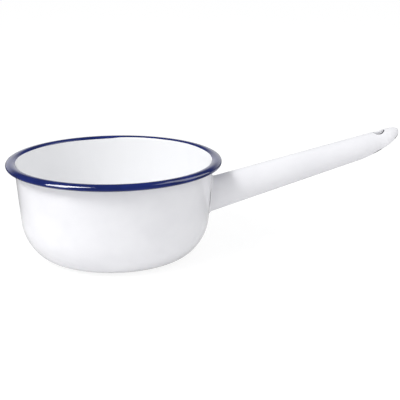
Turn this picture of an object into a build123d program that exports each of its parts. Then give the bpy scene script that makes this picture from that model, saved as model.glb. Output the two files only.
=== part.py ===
from build123d import *
import os
from math import acos, atan2, cos, degrees, hypot, radians, sin, sqrt, tan

os.makedirs("parts", exist_ok=True)

# Sheet and coats: pressed steel with glass enamel fired on both sides, all sizes in mm
sheet = 0.8
coat = 0.3
wall = sheet + 2 * coat

# Bowl over its coats
mouth_dia = 140.0
pan_height = 70.0
wall_taper = 4.1            # degrees, the wall leans out towards the mouth
corner_r = 33.5             # big arc between the wall and the heel
heel_r = 17.0               # smaller arc down to the flat base
heel_turn = 44.0            # degrees below level where the two arcs meet

# Rim bead over its coat: the edge of the bowl curled outwards and down
bead_width = 7.5
bead_height = 4.8
bead_side_r = 1.8
curl_gap = 0.45             # between the end of the curl and the wall
dip_edge_share = 0.12       # where the blue ends on the inner shoulder of the bead

# Handle over its coat, measured on upright sections across the pan
handle_reach = 207.5        # from the bowl's axis to the tip
root_mid_share = 0.375      # middle of the root, as a share of the straight wall's height
root_depth_share = 0.666    # depth of the root, as a share of the straight wall's height
handle_rise = 17.0          # degrees
root_width = 16.0
tip_depth = 16.0
tip_width = 14.0
seam_width = 0.8            # welded slit along the underside

# Nose of the handle, rounded in plan and hooded in side view
nose_length = 9.4
nose_power = 2.8            # squareness of the nose in side view
nose_drop_share = 0.5       # height of the nose's middle, as a share of the half depth
nose_close_share = 0.97     # how far the rounding runs before the small blunt end
nose_station_shares = (0.0, 0.3, 0.55, 0.75, 0.9, 1.0)

# Scoop that opens the underside of the tip, and the hanging hole
scoop_length = 29.0         # from the tip back to the start of the slanted cut
scoop_bulge = 1.3           # the cut bows outwards by this much
scoop_corner_r = 3.2        # rounds the cut up into the nose
scoop_end_turn = 38.0       # degrees, slope of the cut where it meets the nose
scoop_end_share = 0.5       # height where the nose is upright, as a share of the half depth
hole_dia = 7.6
hole_setback = 14.8         # from the tip to the middle of the hanging hole
edge_coat = 0.35            # bare dark coat on the cut edges

# Weld around the root of the handle
weld_leg = 2.2
weld_end_lip = 0.12         # how thick the weld still is where it stops
weld_sink = 0.15            # how far its hollow side starts behind the wall's face
weld_turn_shares = (0.0, 0.2, 0.4, 0.6, 0.8, 1.0)

overrun = 6.0               # how far cutters and inner ends run past what they cut

half_turn = 180.0
quarter_turn = 90.0


def polar(centre, radius, angle):
    """Point at radius and angle in degrees around centre, in the upright plane."""
    return (centre[0] + radius * cos(radians(angle)), centre[1] + radius * sin(radians(angle)))


def line(p, q):
    """Straight edge between two points of the upright plane."""
    return Line((p[0], 0, p[1]), (q[0], 0, q[1]))


def arc(centre, radius, start, end):
    """Arc edge around centre from one angle to another, in degrees."""
    a, m, b = (polar(centre, radius, angle) for angle in (start, (start + end) / 2, end))
    return ThreePointArc((a[0], 0, a[1]), (m[0], 0, m[1]), (b[0], 0, b[1]))


def turned(edges):
    """Solid turned around the bowl's axis from a closed outline, its seam away from the handle."""
    return Rot(0, 0, half_turn) * revolve(make_face(edges), Axis.Z, 2 * half_turn)


# Rim bead, an oval of four arcs around its middle
bead_mid = (mouth_dia / 2 + bead_width / 2, pan_height - bead_height / 2)
side_shift = bead_width / 2 - bead_side_r
bead_crown_r = ((side_shift**2 + (bead_height / 2)**2 - bead_side_r**2)
                / (bead_height - 2 * bead_side_r))
crown_shift = bead_crown_r - bead_height / 2
inner_side = (bead_mid[0] - side_shift, bead_mid[1])
outer_side = (bead_mid[0] + side_shift, bead_mid[1])
crown_mid = (bead_mid[0], bead_mid[1] - crown_shift)
under_mid = (bead_mid[0], bead_mid[1] + crown_shift)
join_turn = degrees(atan2(crown_shift, side_shift))
wall_turn = half_turn - wall_taper
dip_turn = (half_turn - join_turn) + dip_edge_share * (wall_turn - half_turn + join_turn)


def wall_point(depth, height):
    """Point of the straight wall at a height, depth into the wall from its mouth side."""
    lean = radians(wall_taper)
    foot = polar(inner_side, bead_side_r - depth, wall_turn)
    return (foot[0] - (foot[1] - height) * tan(lean), height)


# Base corner: two arcs that bring the wall down to the flat base
heel_sink = sin(radians(heel_turn))
wall_foot_z = heel_r * (1 - heel_sink) + corner_r * (heel_sink - sin(radians(wall_taper)))
corner_mid = (wall_point(wall, wall_foot_z)[0] - corner_r * cos(radians(wall_taper)),
              wall_foot_z + corner_r * sin(radians(wall_taper)))
heel_mid = (corner_mid[0] + (corner_r - heel_r) * cos(radians(heel_turn)), heel_r)


def shell_path(depth):
    """Edges of the bowl's face at a depth into the wall, from the axis up to the bead."""
    inset = wall - depth
    floor = line((0, inset), (heel_mid[0], inset))
    heel = arc(heel_mid, heel_r - inset, -quarter_turn, -heel_turn)
    corner = arc(corner_mid, corner_r - inset, -heel_turn, -wall_taper)
    side = line(polar(corner_mid, corner_r - inset, -wall_taper),
                polar(inner_side, bead_side_r - depth, wall_turn))
    return [floor, heel, corner, side]


def filled_bowl(depth):
    """Bowl without its hollow, out to the face at a depth into the wall."""
    top = polar(inner_side, bead_side_r - depth, wall_turn)
    closing = [line(top, (0, top[1])), line((0, top[1]), (0, wall - depth))]
    return turned(shell_path(depth) + closing)


def under_meeting(depth):
    """Point where the outer face of the wall runs into the underside of the bead."""
    lean = radians(wall_taper)
    foot = polar(inner_side, bead_side_r - depth, wall_turn)
    away = (foot[0] - under_mid[0], foot[1] - under_mid[1])
    along = away[0] * sin(lean) + away[1] * cos(lean)
    reach = -along - sqrt(along**2 - away[0]**2 - away[1]**2 + bead_crown_r**2)
    return (foot[0] + reach * sin(lean), foot[1] + reach * cos(lean))


white_end = under_meeting(wall)
white_end_in = (white_end[0] - coat * cos(radians(wall_taper)),
                white_end[1] + coat * sin(radians(wall_taper)))
curl_end_r = wall_point(coat + sheet, white_end[1])[0] + curl_gap
curl_turn = -degrees(acos((curl_end_r - bead_mid[0]) / (bead_crown_r - coat)))
white_turn = degrees(atan2(white_end[1] - under_mid[1], white_end[0] - under_mid[0]))


def bead_path(depth, start, end):
    """Edges of the bead's face from the inner shoulder over the top to the underside."""
    inner = arc(inner_side, bead_side_r - depth, start, half_turn - join_turn)
    crown = arc(crown_mid, bead_crown_r - depth, half_turn - join_turn, join_turn)
    outer = arc(outer_side, bead_side_r - depth, join_turn, -join_turn)
    under = arc(under_mid, bead_crown_r - depth, -join_turn, end)
    return [inner, crown, outer, under]


def make_bowl_steel():
    """Pressed bowl with its edge curled outwards into a hollow bead."""
    mouth_side = shell_path(coat) + bead_path(coat, wall_turn, curl_turn)
    outer_side_path = shell_path(coat + sheet) + bead_path(coat + sheet, wall_turn, curl_turn)
    curl_end = line(polar(under_mid, bead_crown_r - coat, curl_turn),
                    polar(under_mid, bead_crown_r - coat - sheet, curl_turn))
    middle = line((0, coat), (0, coat + sheet))
    return turned(mouth_side + outer_side_path + [curl_end, middle])


def make_inner_enamel():
    """White coat inside the bowl, up to the shoulder where the blue begins."""
    face = shell_path(0) + [arc(inner_side, bead_side_r, wall_turn, dip_turn)]
    back = shell_path(coat) + [arc(inner_side, bead_side_r - coat, wall_turn, dip_turn)]
    end = line(polar(inner_side, bead_side_r, dip_turn),
               polar(inner_side, bead_side_r - coat, dip_turn))
    middle = line((0, wall), (0, wall - coat))
    return turned(face + back + [end, middle])


def make_rim_enamel():
    """Blue coat over the bead, from the inner shoulder round to the wall below it."""
    face = bead_path(0, dip_turn, white_turn)
    back = bead_path(coat, dip_turn, curl_turn)
    start = line(polar(inner_side, bead_side_r, dip_turn),
                 polar(inner_side, bead_side_r - coat, dip_turn))
    across = line(white_end_in, polar(under_mid, bead_crown_r - coat, curl_turn))
    return turned(face + back + [start, across, line(white_end, white_end_in)])


def make_outer_enamel():
    """White coat under the base and up the outside of the wall to the bead."""
    floor, heel, corner, side = shell_path(wall)
    face = [floor, heel, corner, line(polar(corner_mid, corner_r, -wall_taper), white_end)]
    floor, heel, corner, side = shell_path(wall - coat)
    back = [floor, heel, corner, line(polar(corner_mid, corner_r - coat, -wall_taper), white_end_in)]
    middle = line((0, 0), (0, coat))
    return turned(face + back + [line(white_end, white_end_in), middle])


# Handle: upright elliptical sections between straight top and bottom lines
straight_wall = white_end[1] - wall_foot_z
handle_root_z = wall_foot_z + root_mid_share * straight_wall
root_depth = root_depth_share * straight_wall
handle_root_x = wall_point(wall, handle_root_z)[0]
rise = tan(radians(handle_rise))


def along_share(x):
    """How far x lies between the root and the tip, from 0 to 1."""
    return (x - handle_root_x) / (handle_reach - handle_root_x)


def half_depth(x):
    """Half the handle's upright depth at x."""
    return (root_depth + (tip_depth - root_depth) * along_share(x)) / 2


def half_width(x):
    """Half the handle's width at x."""
    return (root_width + (tip_width - root_width) * along_share(x)) / 2


def mid_height(x):
    """Height of the handle's middle line at x."""
    return handle_root_z + rise * (x - handle_root_x)


def upright_inset(inset):
    """Upright distance that thins the sloping handle by an inset square to its surface."""
    return inset / cos(radians(handle_rise))


def section(x, low, high, across):
    """Upright elliptical section at x between two heights."""
    plane = Plane(origin=(x, 0, (low + high) / 2), x_dir=(0, 1, 0), z_dir=(1, 0, 0))
    return plane * Ellipse(across, (high - low) / 2)


def handle_section(x, inset):
    """Section of the straight part of the handle, thinned by an inset."""
    half = half_depth(x) - upright_inset(inset)
    return section(x, mid_height(x) - half, mid_height(x) + half, half_width(x) - inset)


def nose_section(share, inset):
    """Section of the nose at a share of its length, rounded off towards the tip."""
    x = handle_reach - nose_length + share * (nose_length - inset)
    run = share * nose_close_share
    side_scale = (1 - run**nose_power)**(1 / nose_power)
    half = half_depth(x)
    axis = mid_height(x) + nose_drop_share * half
    high = axis + (mid_height(x) + half - upright_inset(inset) - axis) * side_scale
    low = axis - (axis - mid_height(x) + half - upright_inset(inset)) * side_scale
    return section(x, low, high, (half_width(x) - inset) * sqrt(1 - run**2))


def handle_body(inset):
    """Handle without its hollow, thinned by an inset, from inside the bowl to the tip."""
    inner_end = handle_root_x - overrun
    shank = loft([handle_section(inner_end, inset), nose_section(0, inset)], ruled=True)
    nose = loft([nose_section(share, inset) for share in nose_station_shares])
    return shank + nose


def scoop_cutter(lift):
    """Everything under the slanted cut of the tip, its edge raised by a lift."""
    start_x = handle_reach - scoop_length
    start = (start_x, mid_height(start_x) - half_depth(start_x) + lift)
    nose_mid = (handle_reach - lift - scoop_corner_r,
                mid_height(handle_reach) + scoop_end_share * half_depth(handle_reach) + lift)
    end = polar(nose_mid, scoop_corner_r, scoop_end_turn - quarter_turn)
    chord = hypot(end[0] - start[0], end[1] - start[1])
    square = ((end[1] - start[1]) / chord, (start[0] - end[0]) / chord)
    bow = ((start[0] + end[0]) / 2 + scoop_bulge * square[0],
           (start[1] + end[1]) / 2 + scoop_bulge * square[1])
    cut = ThreePointArc((start[0], 0, start[1]), (bow[0], 0, bow[1]), (end[0], 0, end[1]))
    corner = arc(nose_mid, scoop_corner_r, scoop_end_turn - quarter_turn, 0)
    top = polar(nose_mid, scoop_corner_r, 0)
    floor = start[1] - tip_depth
    far = handle_reach + overrun
    outline = [cut, corner, line(top, (far, top[1])), line((far, top[1]), (far, floor)),
               line((far, floor), (start[0], floor)), line((start[0], floor), start)]
    return extrude(make_face(outline), amount=root_width, dir=(0, 1, 0), both=True)


def hole_cutter(radius):
    """Drill for the hanging hole, square to the crown of the handle."""
    x = handle_reach - hole_setback
    height = mid_height(x) + half_depth(x)
    crown_slope = (mid_height(handle_reach) + half_depth(handle_reach) - height) / hole_setback
    crown = Plane(origin=(x, 0, height), x_dir=(1, 0, crown_slope), z_dir=(-crown_slope, 0, 1))
    return crown * Cylinder(radius, tip_depth)


def weld_section(off_wall, grow, base_depth):
    """Section parallel to the wall, off it by a distance, grown around the handle."""
    lean = radians(wall_taper)
    foot = wall_point(base_depth, handle_root_z)
    start = (foot[0] + off_wall * cos(lean), foot[1] - off_wall * sin(lean))
    inset = wall - base_depth
    ends = []
    for side in (-1, 1):
        slope = rise + side * (tip_depth - root_depth) / 2 / (handle_reach - handle_root_x)
        edge_z = mid_height(start[0]) + side * (half_depth(start[0]) - upright_inset(inset))
        climb = (edge_z - start[1]) / (cos(lean) - slope * sin(lean))
        ends.append((start[0] + climb * sin(lean), start[1] + climb * cos(lean)))
    low, high = ends
    middle = ((low[0] + high[0]) / 2, (low[1] + high[1]) / 2)
    plane = Plane(origin=(middle[0], 0, middle[1]), x_dir=(0, 1, 0), z_dir=(cos(lean), 0, -sin(lean)))
    tall = hypot(high[0] - low[0], high[1] - low[1]) / 2
    return plane * Ellipse(half_width(middle[0]) - inset + grow, tall + grow)


def weld_mass(leg, base_depth):
    """Flared mass around the handle's root, its side a hollow quarter round."""
    sections = [weld_section(-overrun / 2, leg + weld_end_lip, base_depth)]
    for share in weld_turn_shares:
        turn = radians(share * quarter_turn)
        grow = leg * (1 - sin(turn)) + weld_end_lip
        off_wall = leg * (1 - cos(turn)) - weld_sink
        sections.append(weld_section(off_wall, grow, base_depth))
    return loft(sections, ruled=True)


# Bowl pieces
bowl_steel = make_bowl_steel()
bowl_inner_enamel = make_inner_enamel()
rim_enamel = make_rim_enamel()
bowl_outer_enamel = make_outer_enamel()

# Handle layers from the outside in, then the cuts that every layer shares
outer_body = handle_body(0)
steel_body = handle_body(coat)
hollow_body = handle_body(coat + sheet)
lining_body = handle_body(wall)
steel_bowl = filled_bowl(coat + sheet)
coated_bowl = filled_bowl(wall)
weld_core = weld_mass(weld_leg, coat + sheet)
weld_skin = weld_mass(weld_leg + coat, wall)
scoop = scoop_cutter(0)
scoop_back = scoop_cutter(edge_coat)
hole = hole_cutter(hole_dia / 2)
hole_back = hole_cutter(hole_dia / 2 + edge_coat)
openings = scoop_back + hole_back

seam_top = Plane(origin=(handle_root_x, 0, handle_root_z), x_dir=(1, 0, rise), z_dir=(-rise, 0, 1))
seam_slot = seam_top * Box(2 * handle_reach, seam_width, root_depth,
                           align=(Align.CENTER, Align.CENTER, Align.MAX))

steel_tube = steel_body - hollow_body - steel_bowl - openings
handle_steel = steel_tube - seam_slot
handle_seam_weld = steel_tube & seam_slot
handle_outer_enamel = outer_body - steel_body - coated_bowl - weld_skin - openings
handle_lining_enamel = hollow_body - lining_body - steel_bowl - openings
root_weld = weld_core - steel_body - steel_bowl
root_enamel = weld_skin - weld_core - steel_body - steel_bowl
bowl_outer_enamel = bowl_outer_enamel - weld_skin - weld_core - outer_body
tip_shell = outer_body - lining_body - hole_back
tip_edge_coat = (tip_shell & scoop_back) - scoop
hole_edge_coat = ((outer_body - lining_body - scoop_back) & hole_back) - hole

pieces = {
    "bowl_steel": bowl_steel,
    "bowl_inner_enamel": bowl_inner_enamel,
    "bowl_outer_enamel": bowl_outer_enamel,
    "rim_enamel": rim_enamel,
    "handle_steel": handle_steel,
    "handle_seam_weld": handle_seam_weld,
    "handle_outer_enamel": handle_outer_enamel,
    "handle_lining_enamel": handle_lining_enamel,
    "root_weld": root_weld,
    "root_enamel": root_enamel,
    "tip_edge_coat": tip_edge_coat,
    "hole_edge_coat": hole_edge_coat,
}

for name, piece in pieces.items():
    export_step(piece, f"parts/{name}.step")
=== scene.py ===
"""Looks of a small enamelled milk pan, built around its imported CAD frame."""

import logging
import math
from collections.abc import Callable
from dataclasses import dataclass
from enum import Enum
from functools import cache

import bpy
import numpy as np
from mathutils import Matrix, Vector


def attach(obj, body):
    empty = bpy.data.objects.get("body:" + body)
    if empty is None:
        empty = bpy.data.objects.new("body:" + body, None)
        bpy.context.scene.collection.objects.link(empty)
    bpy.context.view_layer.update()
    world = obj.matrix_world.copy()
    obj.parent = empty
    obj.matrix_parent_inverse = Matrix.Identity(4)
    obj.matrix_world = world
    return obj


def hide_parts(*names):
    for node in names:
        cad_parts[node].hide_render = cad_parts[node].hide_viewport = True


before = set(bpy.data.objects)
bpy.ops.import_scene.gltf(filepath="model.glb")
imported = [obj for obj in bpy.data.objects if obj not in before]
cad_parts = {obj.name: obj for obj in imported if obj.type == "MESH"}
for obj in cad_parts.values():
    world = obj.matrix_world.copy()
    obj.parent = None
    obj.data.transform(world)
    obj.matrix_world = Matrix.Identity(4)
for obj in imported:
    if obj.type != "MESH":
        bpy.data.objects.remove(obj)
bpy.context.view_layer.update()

MM = 0.001
BODY = "root"
SHARP_TURN = math.radians(50)
WHITE = (1.0, 1.0, 1.0, 1.0)

# Steps and guards of the handle's sums, in millimetres, and in radians around a section
SMALL_STEP = 1e-3
TIP_GAP = 1e-7
TINY = 1e-9
NO_LENGTH = 1e-12
SLACK = 0.01

log = logging.getLogger("milk_pan")


class Slot(Enum):
    """The record's material slots."""

    SHEET = "sheet_steel"
    WELD = "weld_steel"
    WHITE = "white_enamel"
    BLUE = "blue_enamel"
    GROUND = "ground_coat"


class Link(Enum):
    """Kinds of sockets that the node trees take and give."""

    FLOAT = "NodeSocketFloat"
    WHOLE = "NodeSocketInt"
    YES_NO = "NodeSocketBool"
    PLACE = "NodeSocketVector"
    OBJECT = "NodeSocketObject"
    MATERIAL = "NodeSocketMaterial"
    SHAPE = "NodeSocketGeometry"


class Tree:
    """A node tree that is filled by short calls."""

    def __init__(self, tree: bpy.types.NodeTree) -> None:
        """Keeps the tree.

        Args:
            tree: The node tree to fill.
        """
        self.tree = tree

    def add(self, kind: str, settings: dict | None = None, **inputs: object) -> bpy.types.Node:
        """Adds a node and fills its inputs.

        Args:
            kind: Blender's name of the node type.
            settings: Values for the node's own properties.
            inputs: Value or source socket for each input, by name with _ for a space, or by i0, i1 for
                its place in the row.

        Returns:
            The new node.
        """
        node = self.tree.nodes.new(kind)
        for name, value in (settings or {}).items():
            setattr(node, name, value)
        for name, value in inputs.items():
            by_place = name[0] == "i" and name[1:].isdigit()
            socket = node.inputs[int(name[1:])] if by_place else node.inputs[name.replace("_", " ")]
            self.feed(value, socket)
        return node

    def feed(self, value: object, socket: bpy.types.NodeSocket) -> None:
        """Links a source socket, or writes a plain value.

        Args:
            value: A source socket or a value.
            socket: The input that takes it.
        """
        if isinstance(value, bpy.types.NodeSocket):
            self.tree.links.new(value, socket)
        else:
            socket.default_value = value

    def math(self, operation: str, first: object, second: object = 0.0,
             third: object = 0.0) -> bpy.types.NodeSocket:
        """Adds a math node.

        Args:
            operation: Blender's name of the operation.
            first: First value or socket.
            second: Second value or socket.
            third: Third value or socket.

        Returns:
            The result's socket.
        """
        node = self.add("ShaderNodeMath", {"operation": operation}, i0=first, i1=second, i2=third)
        return node.outputs[0]

    def blend(self, share: object, first: object, second: object) -> bpy.types.NodeSocket:
        """Adds a colour mix.

        Args:
            share: How much of the second colour shows.
            first: First colour or socket.
            second: Second colour or socket.

        Returns:
            The result's socket.
        """
        node = self.add("ShaderNodeMix", {"data_type": "RGBA"}, i0=share, i6=first, i7=second)
        return node.outputs[2]

    def step(self, value: object, low: object, high: object) -> bpy.types.NodeSocket:
        """Adds a smooth step from 0 at low to 1 at high.

        Args:
            value: The value to look at.
            low: Where the step starts.
            high: Where the step ends.

        Returns:
            The result's socket.
        """
        settings = {"interpolation_type": "SMOOTHSTEP"}
        return self.add("ShaderNodeMapRange", settings, Value=value, From_Min=low, From_Max=high).outputs[0]

    def ray_kinds(self) -> tuple:
        """Whether a ray is seen by the camera or through glass, and whether it is a reflection's."""
        rays = self.add("ShaderNodeLightPath").outputs
        return self.math("MAXIMUM", rays["Is Camera Ray"], rays["Is Transmission Ray"]), rays["Is Glossy Ray"]


def new_group(name: str, kind: str, inputs: list, outputs: list) -> tuple[Tree, dict, bpy.types.Node]:
    """Makes a node group with named sockets.

    Args:
        name: The group's name.
        kind: Blender's name of the tree type.
        inputs: Pairs of an input's name and its Link.
        outputs: Pairs of an output's name and its Link.

    Returns:
        The tree, its input sockets by name, and its output node.
    """
    tree = bpy.data.node_groups.new(name, kind)
    for label, link in inputs:
        tree.interface.new_socket(name=label, in_out="INPUT", socket_type=link.value)
    for label, link in outputs:
        tree.interface.new_socket(name=label, in_out="OUTPUT", socket_type=link.value)
    source = tree.nodes.new("NodeGroupInput")
    sink = tree.nodes.new("NodeGroupOutput")
    return Tree(tree), {label: source.outputs[label] for label, _ in inputs}, sink


# Effects that more than one finish uses


@cache
def ripple_group() -> bpy.types.NodeTree:
    """Height of fired glass: broad soft waves under a fine orange peel.

    Returns:
        The shader group, made once.
    """
    inputs = [("Place", Link.PLACE), ("Broad Scale", Link.FLOAT), ("Fine Scale", Link.FLOAT),
              ("Fine Share", Link.FLOAT)]
    tree, given, sink = new_group("fired_ripple", "ShaderNodeTree", inputs, [("Height", Link.FLOAT)])
    broad = tree.add("ShaderNodeTexNoise", None, Vector=given["Place"], Scale=given["Broad Scale"],
                     Detail=1.0, Roughness=0.4)
    fine = tree.add("ShaderNodeTexNoise", None, Vector=given["Place"], Scale=given["Fine Scale"],
                    Detail=2.0, Roughness=0.5)
    lifted = tree.math("MULTIPLY", fine.outputs[0], given["Fine Share"])
    tree.feed(tree.math("ADD", broad.outputs[0], lifted), sink.inputs["Height"])
    return tree.tree


@cache
def speck_group() -> bpy.types.NodeTree:
    """Mask of a few tiny specks fired into the glass.

    Returns:
        The shader group, made once.
    """
    inputs = [("Place", Link.PLACE), ("Scale", Link.FLOAT), ("Size", Link.FLOAT), ("Rarity", Link.FLOAT)]
    tree, given, sink = new_group("fired_specks", "ShaderNodeTree", inputs, [("Mask", Link.FLOAT)])
    cells = tree.add("ShaderNodeTexVoronoi", None, Vector=given["Place"], Scale=given["Scale"])
    dot = tree.math("LESS_THAN", cells.outputs["Distance"], given["Size"])
    chance = tree.add("ShaderNodeSeparateColor", None, Color=cells.outputs["Color"])
    rare = tree.math("GREATER_THAN", chance.outputs[0], given["Rarity"])
    tree.feed(tree.math("MULTIPLY", dot, rare), sink.inputs["Mask"])
    return tree.tree


@cache
def cloud_group() -> bpy.types.NodeTree:
    """Slow change of tone over a surface, from 0 to 1.

    Returns:
        The shader group, made once.
    """
    inputs = [("Place", Link.PLACE), ("Scale", Link.FLOAT), ("Low", Link.FLOAT), ("High", Link.FLOAT)]
    tree, given, sink = new_group("slow_clouds", "ShaderNodeTree", inputs, [("Tone", Link.FLOAT)])
    noise = tree.add("ShaderNodeTexNoise", None, Vector=given["Place"], Scale=given["Scale"], Detail=3.0,
                     Roughness=0.55)
    tree.feed(tree.step(noise.outputs[0], given["Low"], given["High"]), sink.inputs["Tone"])
    return tree.tree


class Surface(Tree):
    """A material's tree, with its shader and the object's own coordinates."""

    def __init__(self, material: bpy.types.Material) -> None:
        """Takes up a new material.

        Args:
            material: The material, with the nodes that it starts with.
        """
        super().__init__(material.node_tree)
        self.shader = self.tree.nodes["Principled BSDF"]
        self.place = self.add("ShaderNodeTexCoord").outputs["Object"]

    def own(self, name: str) -> bpy.types.NodeSocket:
        """Value of one of the mesh's own attributes."""
        return self.add("ShaderNodeAttribute", {"attribute_name": name}).outputs["Fac"]

    def effect(self, made: bpy.types.NodeTree, **inputs: float) -> bpy.types.NodeSocket:
        """First output of a shared effect that is placed here with these inputs."""
        return self.add("ShaderNodeGroup", {"node_tree": made}, Place=self.place, **inputs).outputs[0]

    def paint(self, colour: bpy.types.NodeSocket) -> None:
        """Feeds the base colour."""
        self.feed(colour, self.shader.inputs["Base Color"])

    def gloss(self, tone: bpy.types.NodeSocket, low: float, high: float) -> None:
        """Feeds a roughness that goes from low to high with a tone."""
        self.feed(self.math("MULTIPLY_ADD", tone, high - low, low), self.shader.inputs["Roughness"])

    def relief(self, depth: float, **ripple: float) -> None:
        """Feeds the ripple of fired glass into the normal.

        Args:
            depth: Depth of the relief in metres.
            ripple: Inputs of the ripple by name, with _ for a space.
        """
        height = self.effect(ripple_group(), **ripple)
        node = self.add("ShaderNodeBump", None, Strength=1.0, Distance=depth, Height=height)
        self.feed(node.outputs[0], self.shader.inputs["Normal"])


class Finish:
    """A surface finish that is built once and then shared."""

    name = "finish"

    def material(self) -> bpy.types.Material:
        """Makes the material.

        Returns:
            The material, or the one that is already there.
        """
        if self.name in bpy.data.materials:
            return bpy.data.materials[self.name]
        material = bpy.data.materials.new(self.name)
        material.use_nodes = True
        self.fill(Surface(material))
        return material

    def fill(self, tree: Surface) -> None:
        """Fills the material's nodes.

        Args:
            tree: The material's tree.
        """
        raise NotImplementedError


@dataclass(frozen=True)
class WhiteEnamel(Finish):
    """Glossy fired white glass with a faint cool cast, painted lighter inside the bowl as painted light."""

    name: str = "white_enamel_glass"
    clear: tuple = (0.845, 0.842, 0.868, 1.0)
    thick: tuple = (0.885, 0.882, 0.905, 1.0)
    # Lighter white for the bowl's inside coat: painted light that brightens the inside of the bowl
    inside_painted_light: tuple = (0.932, 0.935, 0.944, 1.0)
    inside_painted_light_share: float = 0.9
    speck: tuple = (0.30, 0.31, 0.36, 1.0)
    speck_share: float = 0.45
    gloss_low: float = 0.07
    gloss_high: float = 0.13
    peel_depth: float = 0.00003

    def fill(self, tree: Surface) -> None:
        """Fills the material's nodes.

        Args:
            tree: The material's tree.
        """
        tone = tree.effect(cloud_group(), Scale=38.0, Low=0.3, High=0.72)
        specks = tree.effect(speck_group(), Scale=95.0, Size=0.022, Rarity=0.93)
        # Where the mesh is marked, the lighter white is mixed in: painted light inside the bowl
        cover = tree.blend(tree.math("MULTIPLY", tree.own("inside_painted_light"), self.inside_painted_light_share),
                           tree.blend(tone, self.clear, self.thick), self.inside_painted_light)
        tree.paint(tree.blend(tree.math("MULTIPLY", specks, self.speck_share), cover, self.speck))
        tree.gloss(tone, self.gloss_low, self.gloss_high)
        tree.relief(self.peel_depth, Broad_Scale=42.0, Fine_Scale=900.0, Fine_Share=0.03)


@dataclass(frozen=True)
class BlueEnamel(Finish):
    """Glossy fired navy glass, a little thinner where its dip ends."""

    name: str = "blue_enamel_glass"
    deep: tuple = (0.009, 0.016, 0.095, 1.0)
    light: tuple = (0.014, 0.024, 0.15, 1.0)
    thin: tuple = (0.075, 0.10, 0.30, 1.0)
    thin_share: float = 0.8
    dip_fade: float = 0.055
    wall_fade: float = 0.965
    gloss_low: float = 0.03
    gloss_high: float = 0.07
    peel_depth: float = 0.000012

    def fill(self, tree: Surface) -> None:
        """Fills the material's nodes.

        Args:
            tree: The material's tree.
        """
        tone = tree.effect(cloud_group(), Scale=60.0, Low=0.3, High=0.75)
        along = tree.own("along")
        near_dip = tree.math("SUBTRACT", 1.0, tree.step(along, 0.0, self.dip_fade))
        near_wall = tree.step(along, self.wall_fade, 1.0)
        thinned = tree.math("MULTIPLY", tree.math("MAXIMUM", near_dip, near_wall), self.thin_share)
        tree.paint(tree.blend(thinned, tree.blend(tone, self.deep, self.light), self.thin))
        tree.gloss(tone, self.gloss_low, self.gloss_high)
        tree.relief(self.peel_depth, Broad_Scale=75.0, Fine_Scale=1100.0, Fine_Share=0.04)


@dataclass(frozen=True)
class GroundCoat(Finish):
    """Dark ground coat that shows through where the white has drawn back from a cut edge."""

    name: str = "bare_ground_coat"
    dark: tuple = (0.018, 0.019, 0.026, 1.0)
    worn: tuple = (0.07, 0.072, 0.085, 1.0)
    white: tuple = (0.80, 0.80, 0.83, 1.0)
    low: float = 0.46
    high: float = 0.60
    bare_share: float = 0.5
    gloss_white: float = 0.14
    gloss_dark: float = 0.36
    peel_depth: float = 0.00005

    def fill(self, tree: Surface) -> None:
        """Fills the material's nodes.

        Args:
            tree: The material's tree.
        """
        tone = tree.effect(cloud_group(), Scale=400.0, Low=0.3, High=0.7)
        lift = tree.math("MULTIPLY_ADD", tree.own("bare"), self.bare_share, -self.bare_share / 2)
        patch = tree.add("ShaderNodeTexNoise", None, Vector=tree.place, Scale=260.0, Detail=3.0,
                         Roughness=0.6)
        shows = tree.step(tree.math("ADD", patch.outputs[0], lift), self.low, self.high)
        tree.paint(tree.blend(shows, self.white, tree.blend(tone, self.dark, self.worn)))
        tree.gloss(shows, self.gloss_white, self.gloss_dark)
        tree.relief(self.peel_depth, Broad_Scale=300.0, Fine_Scale=1800.0, Fine_Share=0.2)


@dataclass(frozen=True)
class CoreSteel(Finish):
    """Pressed sheet or weld metal under the coats."""

    name: str = "pressed_sheet"
    pale: tuple = (0.42, 0.43, 0.45, 1.0)
    dark: tuple = (0.27, 0.27, 0.29, 1.0)
    gloss_low: float = 0.35
    gloss_high: float = 0.55
    grain_depth: float = 0.00002

    def fill(self, tree: Surface) -> None:
        """Fills the material's nodes.

        Args:
            tree: The material's tree.
        """
        tone = tree.effect(cloud_group(), Scale=180.0, Low=0.25, High=0.8)
        tree.paint(tree.blend(tone, self.pale, self.dark))
        tree.gloss(tone, self.gloss_low, self.gloss_high)
        tree.feed(1.0, tree.shader.inputs["Metallic"])
        tree.relief(self.grain_depth, Broad_Scale=250.0, Fine_Scale=2600.0, Fine_Share=0.4)


FINISHES = {
    Slot.SHEET: CoreSteel(),
    Slot.WELD: CoreSteel(name="weld_metal", pale=(0.36, 0.36, 0.38, 1.0), dark=(0.16, 0.16, 0.18, 1.0)),
    Slot.WHITE: WhiteEnamel(),
    Slot.BLUE: BlueEnamel(),
    Slot.GROUND: GroundCoat(),
}


# Meshes


def new_object(name: str, mesh: bpy.types.Mesh) -> bpy.types.Object:
    """Puts a mesh in the scene as an object at the origin.

    Args:
        name: The object's name.
        mesh: Its mesh, in the pan's frame.

    Returns:
        The object.
    """
    piece = bpy.data.objects.new(name, mesh)
    bpy.context.scene.collection.objects.link(piece)
    return piece


def mesh_from(name: str, points: np.ndarray, faces: list) -> bpy.types.Mesh:
    """Makes a smooth mesh from points in millimetres.

    Args:
        name: The mesh's name.
        points: One row per point.
        faces: Point numbers of each face.

    Returns:
        The mesh, in metres, its sharp turns marked.
    """
    mesh = bpy.data.meshes.new(name)
    mesh.from_pydata((points * MM).tolist(), [], [tuple(face) for face in faces])
    mesh.validate()
    mesh.shade_smooth()
    mesh.set_sharp_from_angle(angle=SHARP_TURN)
    return mesh


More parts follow.
